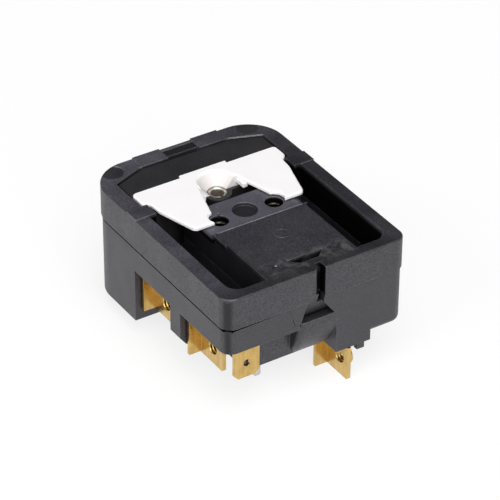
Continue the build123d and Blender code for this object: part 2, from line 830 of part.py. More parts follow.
def fixed_contact():
    return rod(contact_x, arm_y, contact_r, closed_z - contact_h, closed_z)


# Bimetal arm with a dished disc in the middle
def bimetal_arm():
    half = arm_w / 2
    left = line_x + arm_foot
    right = contact_x + contact_r
    inner_r = dish_r - 2 * arm_t
    middle = dish_rise / 2
    arm = span(left, right, arm_y - half, arm_y + half, arm_z, arm_z + arm_t)
    arm += rod(dish_x, arm_y, dish_r, arm_z, arm_z + arm_t)
    arm += Pos(dish_x, arm_y, arm_z + arm_t + middle) * Cone(inner_r, dish_crown_r, dish_rise)
    return arm - Pos(dish_x, arm_y, arm_z + middle) * Cone(inner_r, dish_crown_r, dish_rise)


def moving_contact():
    return rod(contact_x, arm_y, contact_r, closed_z, arm_z)


# Flat ribbon heater, folded to and fro between the common pin's strip and the fixed strip
def heater():
    pitch = 2 * heater_w
    low = case_low + brass_t
    top = low + heater_t
    near = cavity_near + brass_t
    left = line_right + arm_lap + heater_gap
    right = mid_x + heater_right
    last = near + (heater_legs - 1) * pitch
    ribbon = span(right - heater_w, contact_x - fixed_strip_tail + brass_t, last, last + heater_w, low, top)
    for leg in range(heater_legs):
        y = near + leg * pitch
        ribbon += span(left, right, y, y + heater_w, low, top)
    for turn in range(heater_legs - 1):
        y = near + turn * pitch
        x = right - heater_w if turn % 2 else left
        ribbon += span(x, x + heater_w, y, y + pitch + heater_w, low, top)
    return ribbon


# Socket of the common pin, with the strip down to the heater
def common_socket():
    far = cavity_near + brass_t
    strip = span(mid_x - socket_r, mid_x + socket_r, far - strip_t, far, case_low + brass_t, case_roof_z - 1)
    strip -= rod(mid_x, pin_back_y, socket_r, funnel_mouth_z - socket_len, 0)
    return rolled_socket(mid_x, pin_back_y, funnel_mouth_z, 270) + strip


def write(name, shape):
    export_step(to_origin * shape, "parts/" + name + ".step")


def main():
    os.makedirs("parts", exist_ok=True)
    write("cover", cover())
    write("base", base())
    write("thermistor_pill", pill())
    write("start_pin_socket", start_socket())
    write("run_pin_socket", mirrored(start_socket()))
    write("start_spring", start_spring())
    write("run_spring", mirrored(start_spring()))
    write("rear_screw_terminal", rear_screw_terminal())
    write("front_screw_terminal", front_screw_terminal())
    write("corner_screw_terminal", corner_screw_terminal())
    write("push_on_tab", push_on_tab())
    write("small_tab", small_tab())
    write("protector_cap", cap())
    write("protector_case", protector_case())
    write("protector_plate", protector_plate())
    write("common_pin_socket", common_socket())
    write("line_strip", line_strip())
    write("bimetal_arm", bimetal_arm())
    write("moving_contact", moving_contact())
    write("fixed_contact", fixed_contact())
    write("fixed_contact_strip", fixed_strip())
    write("heater_ribbon", heater())


main()
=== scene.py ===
import json
import math

import bpy
from mathutils import Matrix, Vector


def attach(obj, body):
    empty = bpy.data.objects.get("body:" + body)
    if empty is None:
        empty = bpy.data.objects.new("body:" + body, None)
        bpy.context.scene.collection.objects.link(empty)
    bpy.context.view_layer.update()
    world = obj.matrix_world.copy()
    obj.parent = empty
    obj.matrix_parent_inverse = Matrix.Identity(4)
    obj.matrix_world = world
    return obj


print("loading the frame")
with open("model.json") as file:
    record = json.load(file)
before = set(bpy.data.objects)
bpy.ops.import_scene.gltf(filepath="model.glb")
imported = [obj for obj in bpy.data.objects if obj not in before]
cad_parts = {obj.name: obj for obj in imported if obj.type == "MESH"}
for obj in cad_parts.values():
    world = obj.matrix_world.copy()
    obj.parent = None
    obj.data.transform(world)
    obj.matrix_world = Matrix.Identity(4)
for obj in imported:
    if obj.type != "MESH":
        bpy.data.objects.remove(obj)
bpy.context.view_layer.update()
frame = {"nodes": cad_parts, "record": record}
parts = frame["nodes"]
mounts = {mount["name"]: mount for mount in frame["record"]["mounts"]}
mm = 0.001


# Helpers for node trees, where an input that is a socket is linked and any other is set
def setInputs(tree, made, inputs):
    for key, value in inputs.items():
        if isinstance(value, bpy.types.NodeSocket):
            tree.links.new(value, made.inputs[key])
        else:
            made.inputs[key].default_value = value


def addNode(tree, kind, inputs=None, **settings):
    made = tree.nodes.new(kind)
    for key, value in settings.items():
        setattr(made, key, value)
    setInputs(tree, made, inputs or {})
    return made


def mathNode(tree, operation, first, second=None):
    inputs = {0: first}
    if second is not None:
        inputs[1] = second
    return addNode(tree, "ShaderNodeMath", inputs, operation=operation).outputs[0]


def vectorNode(tree, operation, first, second=None):
    inputs = {0: first}
    if second is not None:
        inputs[1] = second
    made = addNode(tree, "ShaderNodeVectorMath", inputs, operation=operation)
    return made.outputs["Value"] if operation == "DOT_PRODUCT" else made.outputs["Vector"]


def remap(tree, value, low, high, toLow=0.0, toHigh=1.0):
    inputs = {"Value": value, "From Min": low, "From Max": high, "To Min": toLow, "To Max": toHigh}
    return addNode(tree, "ShaderNodeMapRange", inputs, clamp=True).outputs["Result"]


# From the pair's first value to its second while the mask goes from 0 to 1
def between(tree, mask, pair):
    return remap(tree, mask, 0.0, 1.0, *pair)


def noise(tree, vector, scale, detail=3.0, roughness=0.6, distortion=0.0):
    inputs = {"Vector": vector, "Scale": scale, "Detail": detail, "Roughness": roughness,
              "Distortion": distortion}
    return addNode(tree, "ShaderNodeTexNoise", inputs).outputs["Fac"]


def mixColour(tree, factor, first, second):
    return addNode(tree, "ShaderNodeMix", {0: factor, 6: first, 7: second}, data_type="RGBA").outputs[2]


# A value that moves towards another one by the share
def blendValue(tree, share, first, second):
    change = mathNode(tree, "MULTIPLY", mathNode(tree, "SUBTRACT", second, first), share)
    return mathNode(tree, "ADD", first, change)


# A node group with the named inputs and outputs, each of them a Float or a Vector
def startGroup(name, takes, gives):
    tree = bpy.data.node_groups.new(name, "ShaderNodeTree")
    for direction, sockets in (("INPUT", takes), ("OUTPUT", gives)):
        for label, kind in sockets.items():
            tree.interface.new_socket(label, in_out=direction, socket_type="NodeSocket" + kind)
    return tree, tree.nodes.new("NodeGroupInput").outputs, tree.nodes.new("NodeGroupOutput").inputs


def useGroup(tree, group, inputs):
    return addNode(tree, "ShaderNodeGroup", inputs, node_tree=group).outputs


print("building the shared effects")

edgeMaskSize = {"samples": 6, "turned": (0.995, 0.86)}


# 1 along edges, 0 on flats, with the rounded normal
def makeEdgeMask():
    size = edgeMaskSize
    tree, take, give = startGroup("edgeMask", {"Radius": "Float"}, {"Mask": "Float", "Normal": "Vector"})
    bevel = addNode(tree, "ShaderNodeBevel", {"Radius": take["Radius"]}, samples=size["samples"])
    rounded = bevel.outputs["Normal"]
    flat = tree.nodes.new("ShaderNodeNewGeometry").outputs["Normal"]
    facing = vectorNode(tree, "DOT_PRODUCT", rounded, flat)
    tree.links.new(remap(tree, facing, *size["turned"]), give["Mask"])
    tree.links.new(rounded, give["Normal"])
    return tree


grainSize = {"broadShare": 0.35, "mottle": (0.3, 0.7), "grain": (0.32, 0.68), "fibre": (0.22, 0.05)}


# Fine grain of a moulded surface, broad mottling, and the ends of its glass fibres
def makeMouldGrain():
    size = grainSize
    tree, take, give = startGroup("mouldGrain", {"Vector": "Vector", "Fine": "Float", "Broad": "Float"},
                                  {"Height": "Float", "Mottle": "Float", "Fibre": "Float", "Grain": "Float"})
    place = take["Vector"]
    fine = noise(tree, place, take["Fine"], detail=2.0)
    broad = noise(tree, place, take["Broad"], detail=4.0, roughness=0.55)
    bits = addNode(tree, "ShaderNodeTexVoronoi", {"Vector": place, "Scale": take["Fine"]}, feature="F1")
    height = mathNode(tree, "ADD", fine, mathNode(tree, "MULTIPLY", broad, size["broadShare"]))
    tree.links.new(height, give["Height"])
    tree.links.new(remap(tree, broad, *size["mottle"]), give["Mottle"])
    tree.links.new(remap(tree, fine, *size["grain"]), give["Grain"])
    tree.links.new(remap(tree, bits.outputs["Distance"], *size["fibre"]), give["Fibre"])
    return tree


speckSize = {"dot": (0.25, 0.1)}


# Sparse pale specks, as dust or moulding flash leaves
def makeSpecks():
    size = speckSize
    tree, take, give = startGroup("specks", {"Vector": "Vector", "Scale": "Float", "Amount": "Float"},
                                  {"Mask": "Float"})
    where = {"Vector": take["Vector"], "Scale": take["Scale"]}
    cells = addNode(tree, "ShaderNodeTexVoronoi", where, feature="F1").outputs
    dot = remap(tree, cells["Distance"], *size["dot"])
    chance = addNode(tree, "ShaderNodeSeparateColor", {"Color": cells["Color"]}).outputs["Red"]
    kept = mathNode(tree, "LESS_THAN", chance, take["Amount"])
    tree.links.new(mathNode(tree, "MULTIPLY", dot, kept), give["Mask"])
    return tree


rollSize = {"streak": (0.3, 0.7), "cloudScale": 380.0, "cloud": (0.4, 0.68)}


# Streaks of rolled sheet, long along one axis, with tarnish clouds
def makeRollMarks():
    size = rollSize
    tree, take, give = startGroup("rollMarks", {"Vector": "Vector", "Stretch": "Vector"},
                                  {"Streak": "Float", "Cloud": "Float"})
    along = vectorNode(tree, "MULTIPLY", take["Vector"], take["Stretch"])
    streak = noise(tree, along, 1.0)
    cloud = noise(tree, take["Vector"], size["cloudScale"], distortion=0.6)
    tree.links.new(remap(tree, streak, *size["streak"]), give["Streak"])
    tree.links.new(remap(tree, cloud, *size["cloud"]), give["Cloud"])
    return tree


# 1 inside a box given by its centre and half size, fading over the softness
def makeZone():
    takes = {"Vector": "Vector", "Centre": "Vector", "Half": "Vector", "Softness": "Float"}
    tree, take, give = startGroup("zone", takes, {"Mask": "Float"})
    away = vectorNode(tree, "ABSOLUTE", vectorNode(tree, "SUBTRACT", take["Vector"], take["Centre"]))
    past = vectorNode(tree, "SUBTRACT", away, take["Half"])
    x, y, z = addNode(tree, "ShaderNodeSeparateXYZ", {0: past}).outputs
    furthest = mathNode(tree, "MAXIMUM", mathNode(tree, "MAXIMUM", x, y), z)
    ratio = mathNode(tree, "DIVIDE", furthest, take["Softness"])
    tree.links.new(remap(tree, ratio, 1.0, 0.0), give["Mask"])
    return tree


swirlSize = {"scale": 260.0, "line": (0.42, 0.72)}


# Swirled flow lines, as plastic shows near its gate
def makeFlowSwirl():
    size = swirlSize
    tree, take, give = startGroup("flowSwirl", {"Vector": "Vector"}, {"Swirl": "Float"})
    bent = noise(tree, take["Vector"], size["scale"], detail=5.0, roughness=0.62, distortion=2.2)
    tree.links.new(remap(tree, bent, *size["line"]), give["Swirl"])
    return tree


edgeMask = makeEdgeMask()
mouldGrain = makeMouldGrain()
specks = makeSpecks()
rollMarks = makeRollMarks()
zone = makeZone()
flowSwirl = makeFlowSwirl()


def startMaterial(name):
    made = bpy.data.materials.new(name)
    made.use_nodes = True
    tree = made.node_tree
    place = tree.nodes.new("ShaderNodeTexCoord").outputs["Object"]
    return made, tree, tree.nodes["Principled BSDF"], place


# The normal of a bump that has the finish's strength and depth, on top of another normal if one is given
def bumpNormal(tree, size, height, normal=None):
    inputs = {"Height": height, "Strength": size["bump"], "Distance": size["bumpDepth"]}
    if normal is not None:
        inputs["Normal"] = normal
    return addNode(tree, "ShaderNodeBump", inputs).outputs["Normal"]


# 1 inside the row's box, which is in millimetres
def spotMask(tree, place, row):
    inputs = {"Vector": place, "Centre": [mm * value for value in row["centre"]],
              "Half": [mm * value for value in row["half"]], "Softness": mm * row["soft"]}
    return useGroup(tree, zone, inputs)["Mask"]


print("making the finishes")

blackFinish = {
    "dark": (0.0118, 0.0114, 0.0152, 1), "light": (0.0225, 0.0216, 0.0263, 1), "rough": (0.36, 0.52),
    "ior": 1.79, "tint": (0.97, 0.955, 1.0, 1), "bump": 0.8, "bumpDepth": 0.04 * mm,
    "fine": 5200.0, "broad": 140.0, "grainRough": (-0.08, 0.08), "grainDeep": (0.0, 0.5),
    "grainTone": (1.55, 0.45), "fibre": (0.095, 0.094, 0.101, 1), "fibreShare": 0.4,
    # The edge colour is partly real worn edges and partly a painted highlight where rounded edges catch the
    # light
    "edge": (0.13, 0.129, 0.136, 1), "edgeRadius": 0.22 * mm, "edgeWearAndHighlight": (0.35, 0.8),
    "edgeSpared": (0.55, 0.9),  # depths of a hollow between which the worn edges and the painted highlight fade out
    "speck": (0.3, 0.3, 0.29, 1), "speckScale": 1500.0, "speckAmount": 0.02, "speckShare": 0.2,
    "spots": (), "rim": False, "gate": False,
}


# A box in millimetres, with the factor on the plastic's colour there, which paints shade below 1 and sheen
# and highlights above 1, its roughness, and its depth as a hollow, which takes the shine off as painted shade
def spot(centre, half, soft, tone, rough=0.6, deep=0.94):
    return {"centre": centre, "half": half, "soft": soft, "tone": tone, "rough": rough, "deep": deep}


plasticSpots = {
    # Painted shade: the pockets, slit, slot, window and pin holes are darkened where shade falls in them
    "leftPocket": spot((-15.9, -8.2, 24.6), (4.2, 15.9, 6.6), soft=0.5, tone=0.1),
    "rightPocket": spot((15.9, -8.2, 24.6), (4.2, 15.9, 6.6), soft=0.5, tone=0.1),
    "platformSlit": spot((0.4, -23.95, 27.6), (5.2, 1.4, 4.1), soft=0.2, tone=0.25),
    "wallSlot": spot((1.2, -27.6, 28.8), (0.72, 1.1, 3.4), soft=0.15, tone=0.15),
    "rampWindow": spot((0.3, -25.4, 22.4), (5.2, 1.7, 2.6), soft=0.3, tone=0.3),
    "leftPinHole": spot((-7.0, -1.16, 27.4), (2.2, 2.2, 3.7), soft=0.1, tone=0.2),
    "rightPinHole": spot((7.0, -1.16, 27.4), (2.2, 2.2, 3.7), soft=0.1, tone=0.2),
    # Painted reflection: a dark band down the rounded near corner, as it reflects something dark
    "nearCornerReflection": spot((-22.2, -28.4, 20.0), (0.5, 0.5, 11.3), soft=0.7, tone=0.6, rough=0.5, deep=0.62),
    # Painted sheen: the platform and the pin plate are painted lighter as light falls on their tops, with a
    # real change of roughness
    "platform": spot((0.0, -14.6, 32.4), (10.9, 8.2, 0.3), soft=0.4, tone=1.6, rough=0.46, deep=None),
    "pinPlateSheen": spot((0.0, -0.55, 31.3), (11.9, 5.4, 0.25), soft=0.25, tone=4.2, rough=0.52, deep=None),
    # Painted shade: the parting seams and the gap round the protector seat are darkened where shade falls in
    # them
    "leftSeam": spot((-21.5, 0.0, 24.25), (1.1, 28.0, 0.45), soft=0.08, tone=0.1),
    "frontSeam": spot((-14.8, -27.6, 24.25), (7.2, 1.1, 0.45), soft=0.08, tone=0.1),
    "protectorSeat": spot((0.0, 15.2, 25.4), (19.4, 8.2, 6.3), soft=0.15, tone=0.1),
    # Painted highlight: a light line along the platform's far edge
    "platformEdgeHighlight": spot((0.0, -6.32, 32.4), (10.8, 0.16, 0.15), soft=0.1, tone=13.0, rough=0.42, deep=None),
    # Painted shade: the centre recess, the far dip and the gaps on both sides of the front window are
    # darkened where shade falls in them
    "recess": spot((0.0, -0.36, 30.5), (2.9, 2.9, 0.45), soft=0.2, tone=0.8, rough=0.55, deep=0.5),
    "farDip": spot((0.0, 25.7, 32.15), (4.1, 3.6, 0.1), soft=0.06, tone=0.35, rough=0.42, deep=None),
    "leftGap": spot((-6.25, -27.6, 22.0), (0.9, 1.05, 2.8), soft=0.08, tone=0.1),
    "rightGap": spot((6.25, -27.6, 22.0), (0.9, 1.05, 2.8), soft=0.08, tone=0.1),
}

plasticKinds = {
    "cover": {"spots": tuple(plasticSpots), "rim": True, "gate": True},
    "base": {"broad": 110.0,
             "spots": ("leftSeam", "frontSeam", "nearCornerReflection", "leftGap", "rightGap", "rampWindow")},
    "case": {"dark": (0.011, 0.011, 0.0122, 1), "light": (0.016, 0.016, 0.0175, 1),
             "edge": (0.035, 0.035, 0.037, 1), "rough": (0.44, 0.56), "fine": 6500.0, "fibreShare": 0.2},
    "stub": {"dark": (0.12, 0.12, 0.12, 1), "light": (0.3, 0.3, 0.29, 1)},
}

# Painted sheen and shade: the factor on the rim top's colour on each side, as light falls on it, and the
# places between which it changes
rimSize = {
    "near": 0.85, "left": 2.6, "right": 1.1, "farLeft": 3.5, "farRight": 2.0,
    "leftX": (-15.5 * mm, -19.5 * mm), "leftY": (-28.5 * mm, -22.0 * mm), "rightX": (15.0 * mm, 20.0 * mm),
    "farX": (-12.0 * mm, 14.0 * mm), "farY": (8.0 * mm, 24.0 * mm), "flatTop": (32.28 * mm, 32.36 * mm),
}


# Painted sheen and shade of the rim at each place, and 1 on its flat top
def rimPaintedLight(tree, place):
    size = rimSize
    x, y, z = addNode(tree, "ShaderNodeSeparateXYZ", {0: place}).outputs
    onLeft = mathNode(tree, "MULTIPLY", remap(tree, x, *size["leftX"]), remap(tree, y, *size["leftY"]))
    left = mathNode(tree, "MULTIPLY", onLeft, size["left"] - size["near"])
    right = mathNode(tree, "MULTIPLY", remap(tree, x, *size["rightX"]), size["right"] - size["near"])
    near = mathNode(tree, "ADD", mathNode(tree, "ADD", right, size["near"]), left)
    far = remap(tree, x, *size["farX"], size["farLeft"], size["farRight"])
    tone = blendValue(tree, remap(tree, y, *size["farY"]), near, far)
    return tone, remap(tree, z, *size["flatTop"])


# Painted sheen and shade on the rim's top, and each spot's painted shade, sheen and highlights, roughness and
# depth, over one another in the order of the names
def shadeSpots(tree, place, size, grain, colour, rough, deep):
    tone = 1.0
    if size["rim"]:
        onRim, top = rimPaintedLight(tree, place)
        tone = blendValue(tree, top, tone, onRim)
    for name in size["spots"]:
        row = plasticSpots[name]
        inside = spotMask(tree, place, row)
        tone = blendValue(tree, inside, tone, row["tone"])
        rough = blendValue(tree, inside, rough, row["rough"])
        if row["deep"] is not None:
            deep = blendValue(tree, inside, deep, row["deep"])
    tone = mathNode(tree, "MULTIPLY", tone, between(tree, grain["Grain"], size["grainTone"]))
    grey = addNode(tree, "ShaderNodeCombineXYZ", {0: tone, 1: tone, 2: tone}).outputs[0]
    return vectorNode(tree, "MULTIPLY", colour, grey), rough, deep


gateSize = {"centre": (0.7, -24.4, 32.1), "half": (9.8, 2.1, 1.2), "soft": 1.2, "share": 0.78,
            "colour": (0.115, 0.114, 0.12, 1)}


def blackPlastic(name, changes):
    size = {**blackFinish, **changes}
    made, tree, shader, place = startMaterial(name)
    grain = useGroup(tree, mouldGrain, {"Vector": place, "Fine": size["fine"], "Broad": size["broad"]})
    edgeBand = useGroup(tree, edgeMask, {"Radius": size["edgeRadius"]})
    dots = useGroup(tree, specks, {"Vector": place, "Scale": size["speckScale"],
                                   "Amount": size["speckAmount"]})
    fibres = mathNode(tree, "MULTIPLY", grain["Fibre"], size["fibreShare"])
    dust = mathNode(tree, "MULTIPLY", dots["Mask"], size["speckShare"])
    colour = mixColour(tree, grain["Mottle"], size["dark"], size["light"])
    colour = mixColour(tree, fibres, colour, size["fibre"])
    colour = mixColour(tree, dust, colour, size["speck"])
    rough = between(tree, grain["Mottle"], size["rough"])
    rough = mathNode(tree, "ADD", rough, between(tree, grain["Grain"], size["grainRough"]))
    deep = between(tree, grain["Grain"], size["grainDeep"])
    height = grain["Height"]
    if size["spots"]:
        colour, rough, deep = shadeSpots(tree, place, size, grain, colour, rough, deep)
    # Lighter edges: partly worn edges, partly a painted highlight along them, spared in hollows
    wearAndHighlight = mathNode(tree, "MULTIPLY", edgeBand["Mask"], between(tree, grain["Mottle"], size["edgeWearAndHighlight"]))
    wearAndHighlight = mathNode(tree, "MULTIPLY", wearAndHighlight, remap(tree, deep, *size["edgeSpared"], 1.0, 0.0))
    colour = mixColour(tree, wearAndHighlight, colour, size["edge"])
    if size["gate"]:
        swirl = useGroup(tree, flowSwirl, {"Vector": place})
        flow = mathNode(tree, "MULTIPLY", spotMask(tree, place, gateSize), swirl["Swirl"])
        share = mathNode(tree, "MULTIPLY", flow, gateSize["share"])
        colour = mixColour(tree, share, colour, gateSize["colour"])
        height = mathNode(tree, "ADD", height, flow)
    setInputs(tree, shader, {"Base Color": colour, "Roughness": rough, "IOR": size["ior"],
                             "Metallic": deep,  # painted shade: on a dark colour it takes the shine off the hollows, and off pits of the grain
                             "Specular Tint": size["tint"],
                             "Normal": bumpNormal(tree, size, height, edgeBand["Normal"])})
    return made


whiteFinish = {
    "body": (0.82, 0.805, 0.812, 1), "shade": (0.79, 0.772, 0.776, 1), "rough": 0.45, "edgeRadius": 0.3 * mm,
    "fine": 3000.0, "broad": 110.0, "bump": 0.3, "bumpDepth": 0.008 * mm, "glow": 0.08, "glowReach": 1.1 * mm,
    # Painted shade: the funnel is painted darker and browner where shade falls in it
    "funnel": {"centre": (0.0, 10.8, 30.4), "half": (4.4, 4.4, 1.6), "soft": 0.4},
    "bare": (1, 1, 1, 1), "funnelShade": (0.80, 0.78, 0.755, 1),
}


def whitePlastic(name):
    size = whiteFinish
    made, tree, shader, place = startMaterial(name)
    grain = useGroup(tree, mouldGrain, {"Vector": place, "Fine": size["fine"], "Broad": size["broad"]})
    edgeBand = useGroup(tree, edgeMask, {"Radius": size["edgeRadius"]})
    colour = mixColour(tree, grain["Mottle"], size["body"], size["shade"])
    # Painted shade in the funnel
    tone = mixColour(tree, spotMask(tree, place, size["funnel"]), size["bare"], size["funnelShade"])
    setInputs(tree, shader, {"Base Color": vectorNode(tree, "MULTIPLY", colour, tone),
                             "Roughness": size["rough"],
                             "Normal": bumpNormal(tree, size, grain["Height"], edgeBand["Normal"]),
                             "Subsurface Weight": size["glow"], "Subsurface Radius": [size["glowReach"]] * 3})
    return made


sheetFinish = {
    "brass": {"name": "brassSheet", "bright": (0.70, 0.49, 0.19, 1), "deep": (0.57, 0.38, 0.12, 1),
              "stain": (0.33, 0.20, 0.07, 1), "edge": (0.46, 0.29, 0.11, 1), "rough": (0.2, 0.38),
              "stretch": (1500.0, 1500.0, 50.0)},
    # Painted shade: the start and run sockets are brass, painted near black for the shade in their holes,
    # which also dims their reflection
    "socket": {"name": "shadedSocket", "bright": (0.06, 0.055, 0.04, 1), "deep": (0.03, 0.027, 0.02, 1),
               "stain": (0.015, 0.014, 0.011, 1), "rough": (0.25, 0.42), "stretch": (60.0, 60.0, 3000.0)},
    "common": {"name": "commonSocket", "bright": (0.74, 0.69, 0.62, 1), "deep": (0.6, 0.56, 0.5, 1),
               "stain": (0.3, 0.27, 0.23, 1), "rough": (0.35, 0.55), "stretch": (60.0, 60.0, 2000.0)},
    "tinned": {"name": "tinnedSheet", "bright": (0.66, 0.65, 0.62, 1), "deep": (0.5, 0.49, 0.47, 1),
               "stain": (0.25, 0.24, 0.22, 1), "rough": (0.3, 0.5), "stretch": (3000.0, 3000.0, 90.0)},
    "spring": {"name": "springSteel", "bright": (0.6, 0.6, 0.6, 1), "deep": (0.46, 0.46, 0.47, 1),
               "stain": (0.25, 0.22, 0.2, 1), "rough": (0.2, 0.35), "stretch": (3000.0, 80.0, 3000.0)},
    "bimetal": {"name": "bimetalStrip", "bright": (0.63, 0.58, 0.5, 1), "deep": (0.5, 0.45, 0.38, 1),
                "stain": (0.28, 0.22, 0.18, 1), "rough": (0.28, 0.45), "stretch": (70.0, 3000.0, 3000.0)},
    "silver": {"name": "silverContact", "bright": (0.86, 0.85, 0.82, 1), "deep": (0.7, 0.69, 0.66, 1),
               "stain": (0.3, 0.27, 0.22, 1), "rough": (0.22, 0.4), "stretch": (1500.0, 1500.0, 1500.0)},
    "heater": {"name": "heaterRibbon", "bright": (0.46, 0.43, 0.4, 1), "deep": (0.32, 0.3, 0.29, 1),
               "stain": (0.16, 0.12, 0.1, 1), "rough": (0.35, 0.55), "stretch": (80.0, 3000.0, 3000.0)},
}
sheetMarks = {"edgeRadius": 0.12 * mm, "edgeShare": 0.5, "stainShare": 0.32, "bump": 0.35,
              "bumpDepth": 0.006 * mm}


# Rolled sheet, whose edges are as bright as the sheet where its row gives no colour for them
def sheetMetal(size):
    made, tree, shader, place = startMaterial(size["name"])
    marks = useGroup(tree, rollMarks, {"Vector": place, "Stretch": size["stretch"]})
    edgeBand = useGroup(tree, edgeMask, {"Radius": sheetMarks["edgeRadius"]})
    dull = mathNode(tree, "MULTIPLY", marks["Cloud"], sheetMarks["stainShare"])
    edge = mathNode(tree, "MULTIPLY", edgeBand["Mask"], sheetMarks["edgeShare"])
    colour = mixColour(tree, marks["Streak"], size["deep"], size["bright"])
    colour = mixColour(tree, dull, colour, size["stain"])
    colour = mixColour(tree, edge, colour, size.get("edge", size["bright"]))
    setInputs(tree, shader, {"Base Color": colour, "Metallic": 1.0,
                             "Roughness": between(tree, marks["Cloud"], size["rough"]),
                             "Normal": bumpNormal(tree, sheetMarks, marks["Streak"], edgeBand["Normal"])})
    return made


pillFinish = {
    "body": (0.26, 0.25, 0.24, 1), "pale": (0.33, 0.31, 0.29, 1), "silver": (0.7, 0.69, 0.66, 1),
    "faceAt": 1.46 * mm, "rough": (0.45, 0.65), "fine": 3500.0, "broad": 300.0, "bump": 0.5,
    "bumpDepth": 0.01 * mm,
}


# Fired ceramic round the rim, silvered on both faces
def ceramicPill(name):
    size = pillFinish
    made, tree, shader, place = startMaterial(name)
    across = addNode(tree, "ShaderNodeSeparateXYZ", {0: place}).outputs["X"]
    face = mathNode(tree, "GREATER_THAN", mathNode(tree, "ABSOLUTE", across), size["faceAt"])
    grain = useGroup(tree, mouldGrain, {"Vector": place, "Fine": size["fine"], "Broad": size["broad"]})
    body = mixColour(tree, grain["Mottle"], size["body"], size["pale"])
    setInputs(tree, shader, {"Base Color": mixColour(tree, face, body, size["silver"]), "Metallic": face,
                             "Roughness": between(tree, grain["Mottle"], size["rough"]),
                             "Normal": bumpNormal(tree, size, grain["Height"])})
    return made


finishes = {kind: blackPlastic(kind + "Plastic", changes) for kind, changes in plasticKinds.items()}
finishes.update({kind: sheetMetal(size) for kind, size in sheetFinish.items()})
finishes.update({"cap": whitePlastic("capPlastic"), "pill": ceramicPill("pillCeramic")})

dressing = {
    "cover": ["cover"],
    "base": ["base"],
    "case": ["protector_case", "protector_plate"],
    "cap": ["protector_cap"],
    "brass": ["rear_screw_terminal", "front_screw_terminal", "corner_screw_terminal", "push_on_tab",
              "line_strip", "fixed_contact_strip"],
    "socket": ["start_pin_socket", "run_pin_socket"],
    "common": ["common_pin_socket"],
    "tinned": ["small_tab"],
    "spring": ["start_spring", "run_spring"],
    "pill": ["thermistor_pill"],
    "bimetal": ["bimetal_arm"],
    "silver": ["moving_contact", "fixed_contact"],
    "heater": ["heater_ribbon"],
}
for finish, names in dressing.items():
    for name in names:
        mesh = parts[name].data
        mesh.materials.clear()
        mesh.materials.append(finishes[finish])


# Helpers for modelling
def clearSelection():
    bpy.ops.object.select_all(action="DESELECT")


# Turns the normals outwards, leaves edit mode and smooths edges up to the angle
def closeEdit(smooth):
    bpy.ops.mesh.select_all(action="SELECT")
    bpy.ops.mesh.normals_make_consistent(inside=False)
    bpy.ops.object.mode_set(mode="OBJECT")
    bpy.ops.object.shade_smooth_by_angle(angle=math.radians(smooth))


# Applies the placing, and says the piece's name, finish, body and slot
def settle(piece, name, finish):
    clearSelection()
    piece.select_set(True)
    bpy.context.view_layer.objects.active = piece
    bpy.ops.object.transform_apply(location=True, rotation=True, scale=True)
    piece.name = name
    piece.data.name = name
    piece.data.materials.clear()
    piece.data.materials.append(finishes[finish])
    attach(piece, "housing")


print("cutting the threads")
threadSize = {"wall": 1.66 * mm, "crest": 1.46 * mm, "pitch": 0.7 * mm, "halfWidth": 0.24 * mm,
              "turnsEach": 1.25, "repeats": 2, "steps": 40, "weld": 0.001 * mm, "smooth": 40}
threadPlaces = {"thread_" + name.split("_")[0]: mount["pos_m"]
                for name, mount in mounts.items() if mount["kind"] == "threaded_hole"}


# One thread as a triangle wound along Z, then turned to lie along X
def windThread():
    size = threadSize
    clearSelection()
    half = size["halfWidth"]
    bpy.ops.mesh.primitive_circle_add(vertices=3, radius=half, fill_type="NOTHING")
    thread = bpy.context.object
    corners = [(size["crest"], 0, 0), (size["wall"], 0, half), (size["wall"], 0, -half)]
    for vertex, place in zip(thread.data.vertices, corners):
        vertex.co = place
    turn = thread.modifiers.new("wind", "SCREW")
    turn.axis = "Z"
    turn.angle = 2 * math.pi * size["turnsEach"]
    turn.screw_offset = size["pitch"] * size["turnsEach"]
    turn.iterations = size["repeats"]
    turn.steps = size["steps"]
    turn.render_steps = size["steps"]
    bpy.ops.object.modifier_apply(modifier=turn.name)
    bpy.ops.object.mode_set(mode="EDIT")
    bpy.ops.mesh.select_all(action="SELECT")
    bpy.ops.mesh.remove_doubles(threshold=size["weld"])
    bpy.ops.mesh.fill_holes(sides=3)
    closeEdit(size["smooth"])
    rise = size["repeats"] * size["pitch"] * size["turnsEach"]
    thread.data.transform(Matrix.Rotation(math.radians(90), 4, "Y") @ Matrix.Translation((0, 0, -rise / 2)))
    return thread


pattern = windThread()
for name, place in threadPlaces.items():
    clearSelection()
    pattern.select_set(True)
    bpy.context.view_layer.objects.active = pattern
    bpy.ops.object.duplicate(linked=False)
    copy = bpy.context.object
    copy.location = place
    settle(copy, name, "brass")
bpy.data.objects.remove(pattern)

print("adding the moulded ring and the gate stub")
platformTop = mounts["rim_face"]["pos_m"][2]  # the platform is level with the rim


# A disc in edit mode with all of it selected, a little inside the platform
def startDisc(size):
    clearSelection()
    bpy.ops.mesh.primitive_circle_add(vertices=size["sides"], radius=size["radius"], fill_type="NGON",
                                      location=(*size["centre"], platformTop - size["sunk"]))
    disc = bpy.context.object
    bpy.ops.object.mode_set(mode="EDIT")
    bpy.ops.mesh.select_all(action="SELECT")
    return disc


ringSize = {"centre": (0.9 * mm, -13.65 * mm), "radius": 1.75 * mm, "width": 0.28 * mm, "height": 0.09 * mm,
            "edge": 0.03 * mm, "sunk": 0.02 * mm, "sides": 48, "smooth": 35}


